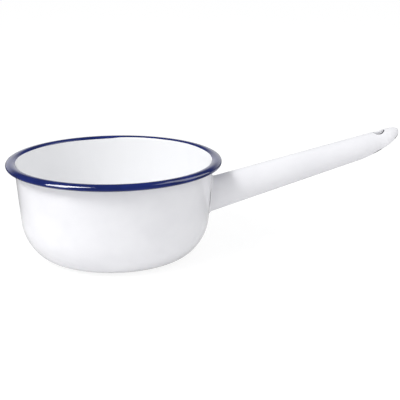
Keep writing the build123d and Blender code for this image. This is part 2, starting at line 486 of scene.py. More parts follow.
def baked(source: bpy.types.Object, name: str) -> bpy.types.Object:
    """Turns an object with live modifiers into a plain one.

    Args:
        source: The object to bake, which is removed.
        name: Name of the plain object.

    Returns:
        The plain object.
    """
    graph = bpy.context.evaluated_depsgraph_get()
    mesh = bpy.data.meshes.new_from_object(source.evaluated_get(graph), depsgraph=graph)
    bpy.data.objects.remove(source)
    mesh.name = name
    mesh.set_sharp_from_angle(angle=SHARP_TURN)
    return new_object(name, mesh)


def place(piece: bpy.types.Object, slot: Slot, *nodes: str) -> None:
    """Dresses a piece and lets it stand for its CAD nodes.

    Args:
        piece: The finished object.
        slot: The record's slot that its finish belongs to.
        nodes: CAD nodes that it replaces.
    """
    piece.data.materials.clear()
    piece.data.materials.append(FINISHES[slot].material())
    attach(piece, BODY)
    if nodes:
        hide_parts(*nodes)
    log.info("%s: %d faces, %s", piece.name, len(piece.data.polygons), slot.value)


# How the edges of a turned coat move. The places are shares of the profile's length, and the moves are
# shares of the coat's own wander. The dip line's rows are azimuths in degrees, and how far the blue edge
# stands there from its even line towards the crown, in halves of the wander.
EDGE_FADE = 0.35
DRIFT_SHARE = 0.12
DIP_LEVEL = 0.3
CURVE_ZERO = 0.5
SAME_SPOT = 0.002 * MM
DIP_LINE = ((0, -0.05), (20, 0.05), (40, 0.5), (60, 0.6), (80, 0.65), (88, 0.35), (96, -0.45), (106, -0.6),
            (120, -0.55), (135, -0.5), (150, -0.35), (165, -0.15), (180, 0.0), (205, -0.1), (240, 0.05),
            (275, -0.05), (310, 0.1), (335, 0.0), (360, -0.05))


@cache
def turned_coat_tree() -> bpy.types.NodeTree:
    """Geometry nodes that turn a profile around the upright axis, with edges that may wander.

    Returns:
        The tree, made once.
    """
    inputs = [("Geometry", Link.SHAPE), ("Profile", Link.OBJECT), ("Rings", Link.WHOLE),
              ("Segments", Link.WHOLE), ("Start Wander", Link.FLOAT), ("End Wander", Link.FLOAT),
              ("Ripple", Link.FLOAT), ("Seed", Link.FLOAT), ("Flip", Link.YES_NO),
              ("Material", Link.MATERIAL)]
    tree, given, sink = new_group("turned_coat", "GeometryNodeTree", inputs, [("Geometry", Link.SHAPE)])
    tree.tree.is_modifier = True
    profile = tree.add("GeometryNodeObjectInfo", None, Object=given["Profile"]).outputs["Geometry"]
    sides = tree.math("ADD", given["Segments"], 1)
    grid = tree.add("GeometryNodeMeshGrid", None, Size_X=1.0, Size_Y=1.0, Vertices_X=given["Rings"],
                    Vertices_Y=sides)
    spot = tree.add("ShaderNodeSeparateXYZ", None, Vector=tree.add("GeometryNodeInputPosition").outputs[0])
    along = tree.math("ADD", spot.outputs[0], 0.5)
    turn = tree.math("MULTIPLY", tree.math("ADD", spot.outputs[1], 0.5), math.tau)
    across = tree.math("COSINE", turn)
    away = tree.math("SINE", turn)

    # Place on the profile of each ring, moved where an edge wanders
    last = tree.math("SUBTRACT", given["Rings"], 1)
    ring = tree.math("ROUND", tree.math("MULTIPLY", along, last))
    share = tree.add("GeometryNodeSampleIndex", {"data_type": "FLOAT", "domain": "POINT", "clamp": True},
                     Geometry=profile, Value=tree.add("GeometryNodeSplineParameter").outputs["Factor"],
                     Index=ring).outputs[0]
    circle = tree.add("ShaderNodeCombineXYZ", None, X=across, Y=away, Z=given["Seed"]).outputs[0]
    drift = tree.add("ShaderNodeTexNoise", None, Vector=circle, Scale=2.6, Detail=3.0, Roughness=0.6)
    swing = tree.math("SUBTRACT", drift.outputs[0], 0.5)
    dip = tree.add("ShaderNodeFloatCurve", None, Value=tree.math("DIVIDE", turn, math.tau))
    line = dip.mapping.curves[0].points
    first, *between, final = [(azimuth / 360, CURVE_ZERO + offset / 2) for azimuth, offset in DIP_LINE]
    for azimuth, height in between:
        line.new(azimuth, height)
    line[0].location = first
    line[len(line) - 1].location = final
    dip.mapping.update()
    dipped = tree.math("SUBTRACT", dip.outputs[0], CURVE_ZERO - DIP_LEVEL)
    start_swing = tree.math("MULTIPLY_ADD", swing, DRIFT_SHARE, dipped)
    length = tree.add("GeometryNodeCurveLength", None, Curve=profile).outputs[0]
    to_start = tree.math("SUBTRACT", 1.0, tree.step(share, 0.0, EDGE_FADE))
    to_end = tree.step(share, 1.0 - EDGE_FADE, 1.0)
    moved_start = tree.math("MULTIPLY", tree.math("MULTIPLY", start_swing, given["Start Wander"]), to_start)
    moved_end = tree.math("MULTIPLY", tree.math("MULTIPLY", swing, given["End Wander"]), to_end)
    moved = tree.math("DIVIDE", tree.math("ADD", moved_start, moved_end), length)
    sample = tree.add("GeometryNodeSampleCurve", {"mode": "FACTOR", "use_all_curves": True}, Curves=profile,
                      Factor=tree.math("ADD", share, moved)).outputs["Position"]
    point = tree.add("ShaderNodeSeparateXYZ", None, Vector=sample)
    radius = point.outputs[0]
    turned = tree.add("ShaderNodeCombineXYZ", None, X=tree.math("MULTIPLY", radius, across),
                      Y=tree.math("MULTIPLY", radius, away), Z=point.outputs[2]).outputs[0]
    keep = tree.add("GeometryNodeStoreNamedAttribute", {"data_type": "FLOAT", "domain": "POINT"},
                    Geometry=grid.outputs["Mesh"], Name="along", Value=along).outputs[0]
    shaped = tree.add("GeometryNodeSetPosition", None, Geometry=keep, Position=turned).outputs[0]
    merged = tree.add("GeometryNodeMergeByDistance", None, Geometry=shaped, Distance=SAME_SPOT).outputs[0]
    flipped = tree.add("GeometryNodeFlipFaces", None, Mesh=merged, Selection=given["Flip"]).outputs[0]

    # Pressed sheet is never quite true, so the wall swings a few hundredths of a millimetre
    wave = tree.add("ShaderNodeTexNoise", None, Scale=26.0, Detail=1.0, Roughness=0.4)
    push = tree.math("MULTIPLY", tree.math("SUBTRACT", wave.outputs[0], 0.5), given["Ripple"])
    normal = tree.add("GeometryNodeInputNormal").outputs[0]
    offset = tree.add("ShaderNodeVectorMath", {"operation": "SCALE"}, Vector=normal, Scale=push).outputs[0]
    waved = tree.add("GeometryNodeSetPosition", None, Geometry=flipped, Offset=offset).outputs[0]
    smooth = tree.add("GeometryNodeSetShadeSmooth", None, Geometry=waved).outputs[0]
    real = tree.add("GeometryNodeRealizeInstances", None, Geometry=smooth).outputs[0]
    dressed = tree.add("GeometryNodeSetMaterial", None, Geometry=real, Material=given["Material"]).outputs[0]
    tree.feed(dressed, sink.inputs["Geometry"])
    return tree.tree


@dataclass(frozen=True)
class Turning:
    """How one coat is turned: facets, wandering edges and ripple, in millimetres."""

    segments: int = 240
    start_wander: float = 0.0
    end_wander: float = 0.0
    ripple: float = 0.0
    seed: float = 0.0
    flip: bool = False
    thickness: float = 0.26


def turn_coat(name: str, profile: np.ndarray, turning: Turning, slot: Slot) -> bpy.types.Object:
    """Turns a profile into a thin closed coat.

    Args:
        name: The piece's name.
        profile: Radius and height of each point, in millimetres.
        turning: How to turn it.
        slot: Slot of its finish.

    Returns:
        The coat as a plain object.
    """
    curve = bpy.data.curves.new(name + "_line", "CURVE")
    curve.dimensions = "3D"
    spline = curve.splines.new("POLY")
    spline.points.add(len(profile) - 1)
    for spot, (radius, height) in zip(spline.points, profile):
        spot.co = (radius * MM, 0.0, height * MM, 1.0)
    line = bpy.data.objects.new(name + "_line", curve)
    bpy.context.scene.collection.objects.link(line)
    source = new_object(name + "_source", bpy.data.meshes.new(name))
    tree = turned_coat_tree()
    lathe = source.modifiers.new("turn", "NODES")
    lathe.node_group = tree
    values = {"Profile": line, "Rings": len(profile), "Segments": turning.segments,
              "Start Wander": turning.start_wander * MM, "End Wander": turning.end_wander * MM,
              "Ripple": turning.ripple * MM, "Seed": turning.seed, "Flip": turning.flip,
              "Material": FINISHES[slot].material()}
    for item in tree.interface.items_tree:
        if item.in_out == "INPUT" and item.name in values:
            lathe[item.identifier] = values[item.name]
    shell = source.modifiers.new("thickness", "SOLIDIFY")
    shell.thickness = turning.thickness * MM
    shell.offset = -1.0
    shell.use_even_offset = True
    piece = baked(source, name)
    bpy.data.objects.remove(line)
    return piece


def polar(centre: tuple, radius: float, angle: np.ndarray) -> np.ndarray:
    """Points at radius around centre, at angles in degrees, as rows of radius and height."""
    turn = np.radians(angle)
    return np.stack([centre[0] + radius * np.cos(turn), centre[1] + radius * np.sin(turn)], axis=-1)


@dataclass(frozen=True)
class BowlPoints:
    """How many points each stretch of the bowl's profile has."""

    flat: int = 18
    heel: int = 13
    corner: int = 20
    wall: int = 18
    shoulder: int = 8
    crown: int = 6
    bead: int = 18


@dataclass(frozen=True)
class BowlSizes:
    """Sizes of the bowl and its rim bead over the coats, in millimetres and degrees, as in the CAD part.

    The last six are the coats' own: where the white runs out under the blue, where the blue starts and
    ends around the bead, and how far the white and the blue ripple.
    """

    wall: float = 1.4
    mouth_dia: float = 140.0
    pan_height: float = 70.0
    wall_taper: float = 4.1
    corner_r: float = 33.5
    heel_r: float = 17.0
    heel_turn: float = 44.0
    bead_width: float = 7.5
    bead_height: float = 4.8
    bead_side_r: float = 1.8
    white_depth: float = 0.06
    white_back: float = 12.0
    white_end: float = 100.0
    blue_span: tuple = (156.0, -122.0)
    white_ripple: float = 0.05
    blue_ripple: float = 0.03


class Bowl:
    """The bowl's white coats and the blue coat over its rim."""

    def __init__(self, sizes: BowlSizes, count: BowlPoints) -> None:
        """Works out the bead and the corner arcs.

        Args:
            sizes: The bowl's sizes.
            count: How finely its profile is drawn.
        """
        s = sizes
        self.sizes = s
        self.count = count
        self.lean = math.radians(s.wall_taper)
        self.wall_turn = 180.0 - s.wall_taper
        bead_mid = (s.mouth_dia / 2 + s.bead_width / 2, s.pan_height - s.bead_height / 2)
        shift = s.bead_width / 2 - s.bead_side_r
        half = s.bead_height / 2
        self.crown_r = (shift**2 + half**2 - s.bead_side_r**2) / (s.bead_height - 2 * s.bead_side_r)
        drop = self.crown_r - half
        self.inner_side = (bead_mid[0] - shift, bead_mid[1])
        self.outer_side = (bead_mid[0] + shift, bead_mid[1])
        self.crown_mid = (bead_mid[0], bead_mid[1] - drop)
        self.under_mid = (bead_mid[0], bead_mid[1] + drop)
        self.join_turn = math.degrees(math.atan2(drop, shift))
        sink = math.sin(math.radians(s.heel_turn))
        self.foot_z = s.heel_r * (1 - sink) + s.corner_r * (sink - math.sin(self.lean))
        self.corner_mid = (self.wall_r(self.foot_z) - s.corner_r * math.cos(self.lean),
                           self.foot_z + s.corner_r * math.sin(self.lean))
        away = (s.corner_r - s.heel_r) * math.cos(math.radians(s.heel_turn))
        self.heel_mid = (self.corner_mid[0] + away, s.heel_r)

    def wall_r(self, height: np.ndarray) -> np.ndarray:
        """Radius of the straight wall's outer face at a height."""
        foot = polar(self.inner_side, self.sizes.bead_side_r - self.sizes.wall, self.wall_turn)
        return foot[0] - (foot[1] - height) * math.tan(self.lean)

    def outer_r(self, height: np.ndarray) -> np.ndarray:
        """Radius of the outer face at a height, on the wall or on the arc below it.

        Args:
            height: Heights over the base.

        Returns:
            A radius for each height.
        """
        fall = np.minimum(height - self.corner_mid[1], 0.0)
        arc = self.corner_mid[0] + np.sqrt(np.maximum(self.sizes.corner_r**2 - fall**2, 0.0))
        return np.where(height >= self.foot_z, self.wall_r(height), arc)

    def shell(self, depth: float) -> list:
        """Rows of profile points from the axis up to the bead.

        Args:
            depth: Depth into the wall from its mouth side.

        Returns:
            Arrays of points, one for each stretch.
        """
        s, count = self.sizes, self.count
        inset = s.wall - depth
        floor = np.stack([np.linspace(0, self.heel_mid[0], count.flat), np.full(count.flat, inset)], axis=-1)
        heel = polar(self.heel_mid, s.heel_r - inset, np.linspace(-90, -s.heel_turn, count.heel))
        corner = polar(self.corner_mid, s.corner_r - inset,
                       np.linspace(-s.heel_turn, -s.wall_taper, count.corner))
        top = polar(self.inner_side, s.bead_side_r - depth, self.wall_turn)
        side = corner[-1] + (top - corner[-1]) * np.linspace(0, 1, count.wall)[:, None]
        return [floor, heel[1:], corner[1:], side[1:]]

    def white_edge(self) -> list:
        """Rows of profile points where the inner white runs out under the blue.

        Returns:
            Arrays of points for the shoulder and the crown.
        """
        s, crown_start = self.sizes, 180 - self.join_turn
        shoulder = polar(self.inner_side, s.bead_side_r - s.white_depth,
                         np.linspace(self.wall_turn - s.white_back, crown_start, self.count.shoulder))
        crown = polar(self.crown_mid, self.crown_r - s.white_depth,
                      np.linspace(crown_start, s.white_end, self.count.crown))
        return [shoulder, crown[1:]]

    def bead(self) -> np.ndarray:
        """Profile points of the blue, from the inner shoulder over the top to the underside.

        Returns:
            The points.
        """
        join, count, side_r = self.join_turn, self.count.bead, self.sizes.bead_side_r
        start, end = self.sizes.blue_span
        arcs = [polar(self.inner_side, side_r, np.linspace(start, 180 - join, count)),
                polar(self.crown_mid, self.crown_r, np.linspace(180 - join, join, count)),
                polar(self.outer_side, side_r, np.linspace(join, -join, count)),
                polar(self.under_mid, self.crown_r, np.linspace(-join, end, count))]
        return np.concatenate([arcs[0]] + [arc[1:] for arc in arcs[1:]])

    def build(self) -> None:
        """Makes the three coats and places them."""
        s = self.sizes
        inside = np.concatenate(self.shell(0.0) + self.white_edge())
        piece = turn_coat("bowl_inside_coat", inside, Turning(ripple=s.white_ripple), Slot.WHITE)
        # The whole inside coat is marked for the lighter white, which is painted light inside the bowl
        inside_painted_light_mask = piece.data.attributes.new("inside_painted_light", "FLOAT", "POINT")
        inside_painted_light_mask.data.foreach_set("value", np.ones(len(piece.data.vertices), np.float32))
        place(piece, Slot.WHITE, "bowl_inner_enamel")

        outside = np.concatenate(self.shell(s.wall))
        piece = turn_coat("bowl_outside_coat", outside, Turning(ripple=s.white_ripple, flip=True), Slot.WHITE)
        place(piece, Slot.WHITE, "bowl_outer_enamel")

        turning = Turning(segments=360, start_wander=2.0, end_wander=0.5, ripple=s.blue_ripple, seed=3.1)
        piece = turn_coat("rim_blue_coat", self.bead(), turning, Slot.BLUE)
        place(piece, Slot.BLUE, "rim_enamel")


@dataclass(frozen=True)
class HandlePoints:
    """How finely each stretch of the handle is drawn, and how its rings crowd together."""

    around: int = 96
    root: int = 7
    straight: int = 66
    lead: int = 4
    opening: int = 36
    opening_power: float = 1.7
    nose: int = 40
    nose_ends: tuple = (0.012, 0.004, 0.0)
    cut: int = 80
    cut_corner: int = 40
    patch: int = 9
    patch_power: float = 1.25
    fillet_around: int = 120
    fillet: int = 15
    edge: int = 11
    tries: int = 14
    wall_tries: int = 12


@dataclass(frozen=True)
class HandleSizes:
    """Sizes of the handle over its coats, in millimetres and degrees, as in the CAD part.

    From white_depth on they are the coats' own: their free depths, how the fillet and the root sink into
    their neighbours, the block of faces around the hanging hole, and where the dark ground coat lies bare.
    """

    reach: float = 207.5
    root_z: float = 41.0
    rise: float = 17.0
    root_depth: float = 26.5
    root_width: float = 16.0
    tip_depth: float = 16.0
    tip_width: float = 14.0
    wall: float = 1.4
    coat: float = 0.3
    nose_length: float = 9.4
    nose_power: float = 2.35
    nose_drop: float = 0.5
    scoop_start: float = 178.8
    scoop_bulge: float = 1.1
    scoop_corner: float = 3.2
    scoop_end_turn: float = 38.0
    scoop_end_drop: float = 0.7
    edge_roll: float = 0.3
    hole_r: float = 4.1
    hole_setback: float = 14.8
    fillet: float = 3.1
    seam_ridge: float = 0.10
    seam_spread: float = 0.9
    seam_run_out: float = 6.0
    seam_half: float = 0.75
    lead_length: float = 3.0
    straight_start: float = 76.0
    white_depth: float = 0.27
    lining_gap: float = 0.03
    root_sink: float = 0.7
    fillet_sink: float = 0.002
    fillet_wall_sink: float = 0.004
    fillet_depth: float = 0.2
    patch_rear: float = 6.6
    patch_fore: float = 6.4
    patch_turn: float = 57.0
    bare_side: float = 0.6
    bare_side_fade: float = 1.4
    bare_around: float = 1.0
    bare_under: float = 3.0
    bare_cut: tuple = ((187.5, 0.2), (190.0, 0.9), (193.0, 1.0), (196.0, 0.45), (203.0, 0.3), (205.5, 0.8))
    bare_hole: tuple = ((-4.5, 0.5), (-1.0, 0.7), (1.0, 1.0), (3.6, 1.0), (4.4, 0.2))


@dataclass
class Sheet:
    """The handle's outer face as points with normals, its faces and its free edges."""

    points: np.ndarray
    normals: np.ndarray
    faces: list
    edges: dict


class Handle:
    """The hollow handle: coats, core, seam, rolled edges and the fillet at its root."""

    def __init__(self, sizes: HandleSizes, count: HandlePoints, bowl: Bowl) -> None:
        """Keeps the sizes and finds where the handle starts.

        Args:
            sizes: The handle's sizes.
            count: How finely it is drawn.
            bowl: The bowl that it is welded to.
        """
        self.sizes = sizes
        self.count = count
        self.bowl = bowl
        self.root_x = float(bowl.wall_r(sizes.root_z))
        self.slope = math.tan(math.radians(sizes.rise))

    def middle(self, x: np.ndarray) -> tuple:
        """Gives the straight handle's section.

        Args:
            x: Places along the handle.

        Returns:
            Middle height, half depth and half width at each place.
        """
        s = self.sizes
        share = (x - self.root_x) / (s.reach - self.root_x)
        half = (s.root_depth + (s.tip_depth - s.root_depth) * share) / 2
        wide = (s.root_width + (s.tip_width - s.root_width) * share) / 2
        return s.root_z + self.slope * (x - self.root_x), half, wide

    def nose_run(self, x: np.ndarray) -> np.ndarray:
        """How far into the nose a place is, from 0 where it starts to 1 at the tip."""
        return np.clip((x - self.sizes.reach + self.sizes.nose_length) / self.sizes.nose_length, 0, 1)

    def surface(self, x: np.ndarray, turn: np.ndarray) -> np.ndarray:
        """Points of the outer face.

        Args:
            x: Places along the handle.
            turn: Angle from the crown around each upright section.

        Returns:
            The points, one row of three numbers for each.
        """
        s = self.sizes
        mid, half, wide = self.middle(x)
        run = self.nose_run(x)
        side = (1 - run**s.nose_power)**(1 / s.nose_power)
        axis = mid + s.nose_drop * half
        high = axis + (mid + half - axis) * side
        low = axis - (axis - mid + half) * side
        y = wide * np.sqrt(1 - run**2) * np.sin(turn)
        z = (low + high) / 2 + (high - low) / 2 * np.cos(turn)
        below = (np.cos(turn) < 0) * np.clip((s.scoop_start - x) / s.seam_run_out, 0, 1)
        ridge = s.seam_ridge * np.exp(-(y / s.seam_spread)**2) * below
        return np.stack([x + 0 * turn, y, z - ridge], axis=-1)

    def span(self, x: np.ndarray) -> tuple:
        """Lowest and highest height of the section at x."""
        flat = self.surface(x, np.full_like(x, math.pi))[..., 2]
        return flat, self.surface(x, np.zeros_like(x))[..., 2]

    def scoop_line(self) -> np.ndarray:
        """Draws the scoop's cut as it looks from the side.

        Returns:
            Rows of x and height from the cut's start to the nose.
        """
        s = self.sizes
        mid, half, _ = self.middle(np.array(s.scoop_start))
        start = np.array([s.scoop_start, float(mid - half)])
        tip_mid, tip_half, _ = self.middle(np.array(s.reach))
        centre = (s.reach - s.edge_roll - s.scoop_corner,
                  float(tip_mid + s.nose_drop * tip_half) - s.scoop_end_drop)
        corner = polar(centre, s.scoop_corner, np.linspace(s.scoop_end_turn - 90, 0, self.count.cut_corner))
        along = np.linspace(0, 1, self.count.cut)[:, None]
        chord = corner[0] - start
        square = np.array([chord[1], -chord[0]]) / np.hypot(*chord)
        bow = start + chord * along + square * s.scoop_bulge * 4 * along * (1 - along)
        return np.concatenate([bow, corner[1:]])

    def scoop_turn(self, x: np.ndarray) -> np.ndarray:
        """Finds where the cut ends each section.

        Args:
            x: Places along the handle.

        Returns:
            Angle from the crown at each place, a half turn where the section is whole.
        """
        line = self.scoop_line()
        cut = np.interp(x, line[:, 0], line[:, 1], left=-math.inf)
        low, high = self.span(x)
        share = (cut - (low + high) / 2) / np.maximum((high - low) / 2, TINY)
        return np.arccos(np.clip(share, -1, 1))

    def normals(self, x: np.ndarray, turn: np.ndarray) -> np.ndarray:
        """Outward unit normals of the outer face.

        Args:
            x: Places along the handle.
            turn: Angle from the crown around each upright section.

        Returns:
            The normals, one row of three numbers for each.
        """
        end = self.sizes.reach - TIP_GAP
        ahead = self.surface(np.minimum(x + SMALL_STEP, end), turn)
        behind = self.surface(np.minimum(x, end) - SMALL_STEP, turn)
        around = self.surface(x, turn + SMALL_STEP) - self.surface(x, turn - SMALL_STEP)
        normal = np.cross(around, ahead - behind)
        size = np.linalg.norm(normal, axis=-1, keepdims=True)
        return -normal / np.maximum(size, NO_LENGTH)

    def hole_plane(self) -> tuple:
        """Finds the plane of the hanging hole on the crown.

        Returns:
            The hole's middle as x and height, and the crown's direction as parts along and up.
        """
        s = self.sizes
        x = s.reach - s.hole_setback
        mid, half, _ = self.middle(np.array([x, s.reach]))
        climb = float(mid[1] + half[1] - mid[0] - half[0])
        size = math.hypot(s.hole_setback, climb)
        return x, float(mid[0] + half[0]), s.hole_setback / size, climb / size

    def inverse(self, u: np.ndarray, y: np.ndarray) -> tuple:
        """Finds the place and angle of points given in the hole's own plane.

        Args:
            u: Distance along the crown from the hole's middle.
            y: Distance across the handle.

        Returns:
            Places along the handle and angles from the crown.
        """
        centre_x, centre_z, along, up = self.hole_plane()
        x = centre_x + u * along
        for _ in range(self.count.tries):
            wide = self.middle(x)[2] * np.sqrt(1 - self.nose_run(x)**2)
            turn = np.arcsin(np.clip(y / wide, -1, 1))
            x = centre_x + (u - (self.surface(x, turn)[..., 2] - centre_z) * up) / along
        return x, turn

    def stations(self) -> np.ndarray:
        """Spaces the rings after the handle's first stretch, close together where it turns.

        Returns:
            Their places along the handle.
        """
        s, count = self.sizes, self.count
        nose_start, lead_start = s.reach - s.nose_length, s.scoop_start - s.lead_length
        straight = np.linspace(s.straight_start, lead_start, count.straight)
        lead = np.linspace(lead_start, s.scoop_start, count.lead)
        crowd = np.linspace(0, 1, count.opening)**count.opening_power
        opening = s.scoop_start + (nose_start - s.scoop_start) * crowd
        turn = math.pi / 2 - np.append(np.linspace(math.pi / 2, 0, count.nose)[:-1], count.nose_ends)
        nose = nose_start + s.nose_length * np.sin(turn)**(2 / s.nose_power)
        return np.concatenate([straight, lead[1:], opening[1:], nose[1:]])

    def wall_meeting(self, turn: np.ndarray, out: float) -> np.ndarray:
        """Finds where the handle's face meets the bowl's face.

        Args:
            turn: Angle from the crown around the section.
            out: How far the bowl's face is moved out.

        Returns:
            A place along the handle for each angle.
        """
        x = np.full_like(turn, self.root_x)
        for _ in range(self.count.wall_tries):
            spot = self.surface(x, turn)
            x = np.sqrt((self.bowl.outer_r(spot[..., 2]) + out)**2 - spot[..., 1]**2)
        return x

    def sheet(self) -> Sheet:
        """Builds the outer face with its hanging hole, its cut and its open root.

        Returns:
            The sheet.
        """
        s, columns, lead_rows = self.sizes, self.count.around, self.count.root
        share = np.linspace(-1, 1, columns + 1)
        rings = self.stations()
        first = self.wall_meeting(share * math.pi, -s.root_sink)
        lead = np.linspace(0, 1, lead_rows + 1)[:-1, None]
        x = np.concatenate([first * (1 - lead) + rings[0] * lead,
                            np.repeat(rings[:, None], columns + 1, axis=1)])
        limit = np.concatenate([np.full(lead_rows, math.pi), self.scoop_turn(rings)])
        turn = limit[:, None] * share[None, :]
        rows = len(x)
        number = np.arange(rows * (columns + 1)).reshape(rows, columns + 1)
        number[-1, :] = number[-1, 0]
        whole = np.isclose(limit, math.pi)
        number[whole, columns] = number[whole, 0]

        # The block of faces that gives way to the hanging hole, and the ring of points around it
        middle_x = s.reach - s.hole_setback
        rear, fore = (int(np.searchsorted(x[:, 0], middle_x + off)) for off in (-s.patch_rear, s.patch_fore))
        half = columns // 2
        spread = int(np.searchsorted(turn[rear, half:], math.radians(s.patch_turn)))
        left, right = half - spread, half + spread
        faces = []
        for row in range(rows - 1):
            for col in range(columns):
                if not (rear <= row < fore and left <= col < right):
                    corners = (number[row, col], number[row, col + 1], number[row + 1, col + 1],
                               number[row + 1, col])
                    faces.append([int(corner) for corner in dict.fromkeys(corners)])
        ring = ([number[rear, col] for col in range(left, right)]
                + [number[row, right] for row in range(rear, fore)]
                + [number[fore, col] for col in range(right, left, -1)]
                + [number[row, left] for row in range(fore, rear, -1)])
        points = self.surface(x, turn).reshape(-1, 3)
        normals = self.normals(x, turn).reshape(-1, 3)
        normals[number[-1, 0]] = (1.0, 0.0, 0.0)
        patch, patch_normals, hole = self.hole_patch(points, [int(n) for n in ring], faces)
        opened = [row for row in range(rows) if not whole[row]]
        scoop = ([number[opened[0] - 1, 0]] + [number[row, columns] for row in opened]
                 + [number[opened[-1] + 1, 0]] + [number[row, 0] for row in reversed(opened)])
        edges = {"hole": hole, "scoop": [int(n) for n in scoop]}
        return tidy_sheet(Sheet(np.concatenate([points, patch]), np.concatenate([normals, patch_normals]),
                                faces, edges))

    def hole_patch(self, points: np.ndarray, ring: list, faces: list) -> tuple:
        """Fills between the block's ring and the round hole.

        Args:
            points: Points of the sheet so far.
            ring: Numbers of the points around the block.
            faces: Faces of the sheet, to which the patch's faces are added.

        Returns:
            The patch's points and normals, and the numbers of the points around the hole.
        """
        steps, count = self.count.patch, len(ring)
        centre_x, centre_z, along, up = self.hole_plane()
        border = points[ring]
        reach = (border[:, 0] - centre_x) * along + (border[:, 2] - centre_z) * up
        flat = np.stack([reach, border[:, 1]], axis=-1)
        circle = flat / np.linalg.norm(flat, axis=-1, keepdims=True) * self.sizes.hole_r
        shares = [(step / steps)**self.count.patch_power for step in range(steps)]
        rows = [self.inverse(*(circle + (flat - circle) * share).T) for share in shares]
        x, turn = (np.stack(part) for part in zip(*rows))
        number = np.arange(len(points), len(points) + steps * count).reshape(steps, count)
        number = np.concatenate([number, np.array([ring])])
        for row, after in zip(number[:-1].tolist(), number[1:].tolist()):
            for at in range(count):
                beside = (at + 1) % count
                faces.append([row[at], row[beside], after[beside], after[at]])
        hole = [int(n) for n in number[0]]
        return self.surface(x, turn).reshape(-1, 3), self.normals(x, turn).reshape(-1, 3), hole

    def fillet_rows(self) -> list:
        """Points of the soft fillet between the handle and the bowl, ring by ring.

        Returns:
            The rows, from the handle over the hollow face to the wall and back inside.
        """
        s, bowl = self.sizes, self.bowl
        turn = np.linspace(-math.pi, math.pi, self.count.fillet_around, endpoint=False)
        joint_x = self.wall_meeting(turn, 0.0)
        joint = self.surface(joint_x, turn)
        handle_out = self.normals(joint_x, turn)
        start_x = joint_x + s.fillet * math.cos(math.radians(s.rise))
        start = self.surface(start_x, turn)
        round_r = np.hypot(joint[:, 0], joint[:, 1])
        on_corner = np.arcsin(np.clip((joint[:, 2] - bowl.corner_mid[1]) / bowl.sizes.corner_r, -1, 1))
        tilt = np.where(joint[:, 2] < bowl.foot_z, on_corner, -bowl.lean)
        wall_out = np.stack([joint[:, 0] / round_r * np.cos(tilt), joint[:, 1] / round_r * np.cos(tilt),
                             np.sin(tilt)], axis=-1)
        away = handle_out - wall_out * np.sum(handle_out * wall_out, axis=-1, keepdims=True)
        away /= np.linalg.norm(away, axis=-1, keepdims=True)
        end = joint + away * s.fillet
        scale = (bowl.outer_r(end[:, 2]) - s.fillet_wall_sink) / np.hypot(end[:, 0], end[:, 1])
        end[:, :2] *= scale[:, None]
        start -= s.fillet_sink * handle_out
        rows = [start * (1 - share)**2 + joint * 2 * share * (1 - share) + end * share**2
                for share in np.linspace(0, 1, self.count.fillet)]
        into_wall, into_handle = s.fillet_depth * wall_out, s.fillet_depth * handle_out
        return rows + [end - into_wall, joint - into_wall - into_handle, start - into_handle]

    def build(self) -> None:
        """Makes every layer of the handle, its rolled edges and its fillet, and places them."""
        s = self.sizes
        sheet = self.sheet()
        strip, body = seam_faces(sheet, s.seam_half, s.scoop_start)
        inner = s.wall - s.coat
        layers = [("handle_white_coat", sheet.faces, 0.0, s.white_depth, Slot.WHITE, "handle_outer_enamel"),
                  ("handle_core", body, s.coat, inner, Slot.SHEET, "handle_steel"),
                  ("handle_seam", strip, s.coat, inner, Slot.WELD, "handle_seam_weld"),
                  ("handle_lining", sheet.faces, inner + s.lining_gap, s.wall, Slot.WHITE,
                   "handle_lining_enamel")]
        for name, faces, top, bottom, slot, node in layers:
            place(new_object(name, layer_mesh(name, sheet, faces, top, bottom)), slot, node)
        roll = Roll(s.wall, s.edge_roll, self.count.edge)
        for name, edge, node in (("scoop_edge", "scoop", "tip_edge_coat"),
                                 ("hole_edge", "hole", "hole_edge_coat")):
            mesh = rolled_edge(name, sheet, sheet.edges[edge], roll, self.bareness)
            place(new_object(name, mesh), Slot.GROUND, node)
        fillet = tube_mesh("root_fillet", self.fillet_rows())
        place(new_object("root_fillet", fillet), Slot.WHITE, "root_enamel")

    def bareness(self, points: np.ndarray) -> np.ndarray:
        """Finds how far the white has drawn back from a cut edge.

        Args:
            points: Points along the edge.

        Returns:
            A number from 0 to 1 for each point.
        """
        s = self.sizes
        x, y, z = points.T
        hole_x, hole_z = self.hole_plane()[:2]
        cut = np.interp(x, *zip(*s.bare_cut))
        near_side = np.clip((-y - s.bare_side) / s.bare_side_fade, 0, 1)
        hole = near_side * np.interp(x - hole_x, *zip(*s.bare_hole))
        at_hole = (np.hypot(x - hole_x, y) < s.hole_r + s.bare_around) & (z > hole_z - s.bare_under)
        return np.where(at_hole, hole, cut)


def tidy_sheet(sheet: Sheet) -> Sheet:
    """Drops points that no face uses and turns every face outwards.

    Args:
        sheet: The sheet as it was put together.

    Returns:
        The sheet with new numbers.
    """
    used = sorted({corner for face in sheet.faces for corner in face})
    number = {old: new for new, old in enumerate(used)}
    points, normals = sheet.points[used], sheet.normals[used]
    faces = []
    for face in sheet.faces:
        corners = [number[corner] for corner in face]
        spots = points[corners]
        across = np.cross(spots[1] - spots[0], spots[2] - spots[0])
        if len(corners) == 4:
            across = np.cross(spots[2] - spots[0], spots[3] - spots[1])
        faces.append(corners if np.dot(across, normals[corners].sum(axis=0)) > 0 else corners[::-1])
    edges = {name: [number[corner] for corner in loop] for name, loop in sheet.edges.items()}
    return Sheet(points, normals, faces, edges)


